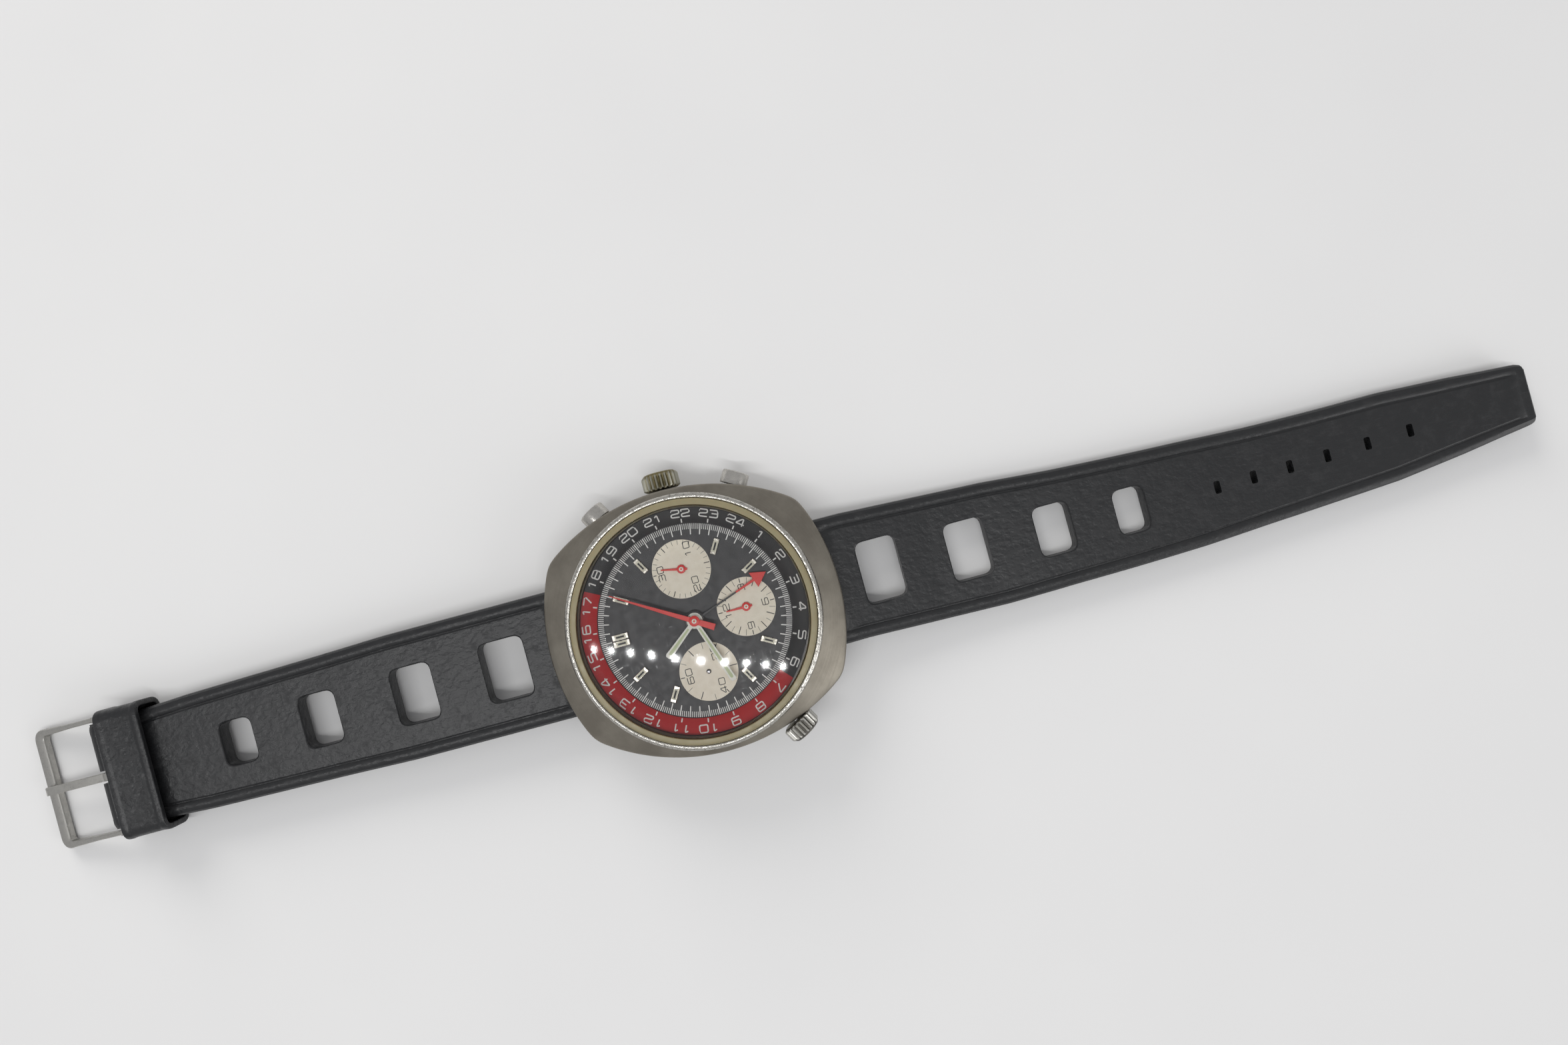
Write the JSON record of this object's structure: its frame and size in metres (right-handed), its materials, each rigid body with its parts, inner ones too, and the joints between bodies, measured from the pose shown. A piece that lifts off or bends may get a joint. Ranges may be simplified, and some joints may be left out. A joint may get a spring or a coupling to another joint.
{
  "type": "wrist chronograph",
  "caption": "Cushion-shaped hand-wound wrist chronograph with a 24-hour hand, a rotating inner hour ring and a perforated rubber strap with a pin buckle.",
  "frame": {"origin": "centre of the case back's flat outer face", "axes": "+Z out through the dial, +Y to 12 o'clock along the strap, +X to 3 o'clock and the winding crown"},
  "size_m": [0.0453, 0.2407, 0.0134],
  "materials": {
    "case_steel": "aged satin brushed",
    "polished_steel": "polished, worn",
    "worn_steel": "worn, brassy in the grooves",
    "crystal_clear": "clear with fine scratches",
    "gasket_yellow": "yellowed",
    "seal_rubber": "matt",
    "movement_brass": "satin",
    "gilt_plate": "frosted gilt",
    "movement_steel": "fine",
    "dial_black": "matt",
    "hand_white": "satin",
    "hand_red": "satin",
    "strap_rubber": "satin, grained"
  },
  "bodies": {
    "case": {"middle_case": "case_steel", "bezel": "polished_steel", "crystal_gasket": "gasket_yellow", "crystal": "crystal_clear", "case_back": "case_steel", "case_back_gasket": "seal_rubber", "movement_ring": "movement_brass", "main_plate": "gilt_plate", "barrel_bridge": "gilt_plate", "train_bridge": "gilt_plate", "balance_cock": "gilt_plate", "chronograph_bridge": "gilt_plate", "dial": "dial_black", "spring_bar_12": "polished_steel", "spring_bar_6": "polished_steel", "start_pusher_spring": "movement_steel", "reset_pusher_spring": "movement_steel", "hairspring": "movement_steel"},
    "inner_ring": {"inner_bezel_ring": "dial_black"},
    "ring_crown": {"inner_ring_crown": "polished_steel", "inner_ring_stem": "movement_steel"},
    "stem": {"winding_stem": "movement_steel"},
    "winding_crown": {"winding_crown": "worn_steel"},
    "winding_pinion": {"winding_pinion": "movement_steel"},
    "sliding_pinion": {"sliding_pinion": "movement_steel"},
    "crown_wheel": {"crown_wheel": "movement_steel"},
    "transmission_wheel": {"transmission_wheel": "movement_steel"},
    "ratchet": {"ratchet_wheel": "movement_steel"},
    "barrel": {"mainspring_barrel": "movement_brass", "mainspring": "movement_steel"},
    "click": {"click": "movement_steel"},
    "center": {"center_wheel": "movement_brass", "minute_hand": "hand_white"},
    "third": {"third_wheel": "movement_brass"},
    "fourth": {"fourth_wheel": "movement_brass"},
    "escape": {"escape_wheel": "movement_steel"},
    "pallet": {"pallet_fork": "movement_steel"},
    "balance": {"balance_wheel": "movement_brass"},
    "minute_work": {"minute_wheel": "movement_brass"},
    "hour": {"hour_wheel": "movement_brass", "hour_hand": "hand_white"},
    "gmt": {"gmt_wheel": "movement_brass", "gmt_hand": "hand_red"},
    "runner": {"chronograph_runner": "movement_brass", "chronograph_seconds_hand": "hand_red"},
    "minute_counter": {"minute_recorder": "movement_brass", "minute_counter_hand": "hand_red"},
    "hour_counter": {"hour_recorder": "movement_brass", "hour_counter_hand": "hand_red"},
    "column_wheel": {"column_wheel": "movement_steel"},
    "clutch": {"clutch_lever": "movement_steel"},
    "hammer": {"reset_hammer": "movement_steel"},
    "start_pusher": {"start_pusher": "polished_steel"},
    "reset_pusher": {"reset_pusher": "polished_steel"},
    "buckle_strap": {"buckle_strap": "strap_rubber"},
    "tail_strap": {"tail_strap": "strap_rubber"},
    "buckle": {"buckle_frame": "polished_steel", "buckle_bar": "polished_steel"},
    "tongue": {"buckle_tongue": "polished_steel"},
    "keeper": {"strap_keeper": "strap_rubber"}
  },
  "joints": [
    {"name": "crown_pull", "type": "slide", "parent": "case", "child": "stem", "axis": [1, 0, 0], "range_m": [0, 0.0009]},
    {"name": "crown_turn", "type": "hinge", "parent": "stem", "child": "winding_crown", "pos_m": [0, 0, 0.0046], "axis": [1, 0, 0], "continuous": true},
    {"name": "winding_pinion_turn", "type": "hinge", "parent": "case", "child": "winding_pinion", "pos_m": [0, 0, 0.0046], "axis": [1, 0, 0], "continuous": true},
    {"name": "sliding_pinion_shift", "type": "slide", "parent": "case", "child": "sliding_pinion", "axis": [-1, 0, 0], "range_m": [0, 0.00046]},
    {"name": "crown_wheel_turn", "type": "hinge", "parent": "case", "child": "crown_wheel", "pos_m": [0.0108, 0, 0.0033], "axis": [0, 0, 1], "continuous": true},
    {"name": "transmission_wheel_turn", "type": "hinge", "parent": "case", "child": "transmission_wheel", "pos_m": [0.00866, 0.00187, 0.0033], "axis": [0, 0, 1], "continuous": true},
    {"name": "ratchet_wheel_turn", "type": "hinge", "parent": "case", "child": "ratchet", "pos_m": [0.0041, 0.00586, 0.0033], "axis": [0, 0, 1], "continuous": true},
    {"name": "click_swing", "type": "hinge", "parent": "case", "child": "click", "pos_m": [-0.0016, 0.0102, 0.0033], "axis": [0, 0, 1], "range_deg": [0, 6]},
    {"name": "ring_crown_turn", "type": "hinge", "parent": "case", "child": "ring_crown", "pos_m": [0, 0, 0.0073], "axis": [-0.866, -0.5, 0], "continuous": true},
    {"name": "inner_ring_turn", "type": "hinge", "parent": "case", "child": "inner_ring", "pos_m": [0, 0, 0.009], "axis": [0, 0, 1], "continuous": true},
    {"name": "start_push", "type": "slide", "parent": "case", "child": "start_pusher", "axis": [-0.866, -0.5, 0], "range_m": [0, 0.001], "stiffness_N_per_m": 1500},
    {"name": "column_wheel_step", "type": "hinge", "parent": "case", "child": "column_wheel", "pos_m": [0.006, 0.0075, 0.0018], "axis": [0, 0, 1], "range_deg": [0, 31]},
    {"name": "clutch_swing", "type": "hinge", "parent": "case", "child": "clutch", "pos_m": [-0.006, -0.006, 0.0022], "axis": [0, 0, -1], "range_deg": [0, 1.6]},
    {"name": "reset_push", "type": "slide", "parent": "case", "child": "reset_pusher", "axis": [-0.866, 0.5, 0], "range_m": [0, 0.001], "stiffness_N_per_m": 1500},
    {"name": "hammer_swing", "type": "hinge", "parent": "case", "child": "hammer", "pos_m": [0.0042, -0.0072, 0.0016], "axis": [0, 0, 1], "range_deg": [0, 4.1]},
    {"name": "small_seconds_turn", "type": "hinge", "parent": "case", "child": "fourth", "pos_m": [-0.008, 0, 0.005], "axis": [0, 0, 1], "continuous": true},
    {"name": "third_wheel_turn", "type": "hinge", "parent": "case", "child": "third", "pos_m": [-0.0044, -0.00226, 0.0045], "axis": [0, 0, 1], "continuous": true},
    {"name": "minute_hand_turn", "type": "hinge", "parent": "case", "child": "center", "pos_m": [0, 0, 0.005], "axis": [0, 0, 1], "continuous": true},
    {"name": "barrel_turn", "type": "hinge", "parent": "case", "child": "barrel", "pos_m": [0.0041, 0.00586, 0.0048], "axis": [0, 0, 1], "continuous": true},
    {"name": "escape_wheel_turn", "type": "hinge", "parent": "case", "child": "escape", "pos_m": [-0.007, 0.00372, 0.00435], "axis": [0, 0, 1], "continuous": true},
    {"name": "minute_wheel_turn", "type": "hinge", "parent": "case", "child": "minute_work", "pos_m": [0.00251, 0.00145, 0.0075], "axis": [0, 0, 1], "continuous": true},
    {"name": "hour_hand_turn", "type": "hinge", "parent": "case", "child": "hour", "pos_m": [0, 0, 0.008], "axis": [0, 0, 1], "continuous": true},
    {"name": "gmt_hand_turn", "type": "hinge", "parent": "case", "child": "gmt", "pos_m": [0, 0, 0.008], "axis": [0, 0, 1], "continuous": true},
    {"name": "pallet_fork_swing", "type": "hinge", "parent": "case", "child": "pallet", "pos_m": [-0.00615, 0.00649, 0.0044], "axis": [0, 0, 1], "range_deg": [-5, 5]},
    {"name": "balance_swing", "type": "hinge", "parent": "case", "child": "balance", "pos_m": [-0.0055, 0.0086, 0.0037], "axis": [0, 0, 1], "range_deg": [-270, 270]},
    {"name": "chronograph_seconds_turn", "type": "hinge", "parent": "case", "child": "runner", "pos_m": [0, 0, 0.005], "axis": [0, 0, 1], "continuous": true},
    {"name": "minute_counter_turn", "type": "hinge", "parent": "case", "child": "minute_counter", "pos_m": [0.008, 0, 0.005], "axis": [0, 0, 1], "continuous": true},
    {"name": "hour_counter_turn", "type": "hinge", "parent": "case", "child": "hour_counter", "pos_m": [0, -0.008, 0.008], "axis": [0, 0, 1], "continuous": true},
    {"name": "buckle_strap_swing", "type": "hinge", "parent": "case", "child": "buckle_strap", "pos_m": [0, 0.0193, 0.0039], "axis": [-1, 0, 0], "range_deg": [-5, 80]},
    {"name": "tail_strap_swing", "type": "hinge", "parent": "case", "child": "tail_strap", "pos_m": [0, -0.0193, 0.0039], "axis": [1, 0, 0], "range_deg": [-5, 80]},
    {"name": "buckle_swing", "type": "hinge", "parent": "buckle_strap", "child": "buckle", "pos_m": [0, 0.0946, 0.00305], "axis": [1, 0, 0], "range_deg": [-12, 55]},
    {"name": "tongue_swing", "type": "hinge", "parent": "buckle", "child": "tongue", "pos_m": [0, 0.0946, 0.00305], "axis": [1, 0, 0], "range_deg": [0, 50]},
    {"name": "keeper_slide", "type": "slide", "parent": "buckle_strap", "child": "keeper", "axis": [0, -1, 0], "range_m": [0, 0.008]}
  ],
  "couplings": [
    {"joint": "winding_pinion_turn", "follows": "crown_turn", "ratio": 1},
    {"joint": "crown_wheel_turn", "follows": "crown_turn", "ratio": 0.5},
    {"joint": "transmission_wheel_turn", "follows": "crown_turn", "ratio": -1},
    {"joint": "ratchet_wheel_turn", "follows": "crown_turn", "ratio": 0.1875},
    {"joint": "sliding_pinion_shift", "follows": "crown_pull", "ratio": 0.5},
    {"joint": "inner_ring_turn", "follows": "ring_crown_turn", "ratio": -0.0526},
    {"joint": "column_wheel_step", "follows": "start_push", "rad_per_m": 523.6},
    {"joint": "clutch_swing", "follows": "start_push", "rad_per_m": 26.2},
    {"joint": "hammer_swing", "follows": "reset_push", "rad_per_m": 69.8},
    {"joint": "third_wheel_turn", "follows": "small_seconds_turn", "ratio": -0.13333},
    {"joint": "minute_hand_turn", "follows": "small_seconds_turn", "ratio": 0.016667},
    {"joint": "barrel_turn", "follows": "small_seconds_turn", "ratio": -0.0025641},
    {"joint": "escape_wheel_turn", "follows": "small_seconds_turn", "ratio": -10},
    {"joint": "minute_wheel_turn", "follows": "small_seconds_turn", "ratio": -0.0055556},
    {"joint": "hour_hand_turn", "follows": "small_seconds_turn", "ratio": 0.0013889},
    {"joint": "gmt_hand_turn", "follows": "small_seconds_turn", "ratio": 0.00069444},
    {"joint": "minute_counter_turn", "follows": "chronograph_seconds_turn", "ratio": 0.033333},
    {"joint": "hour_counter_turn", "follows": "chronograph_seconds_turn", "ratio": 0.0013889}
  ]
}
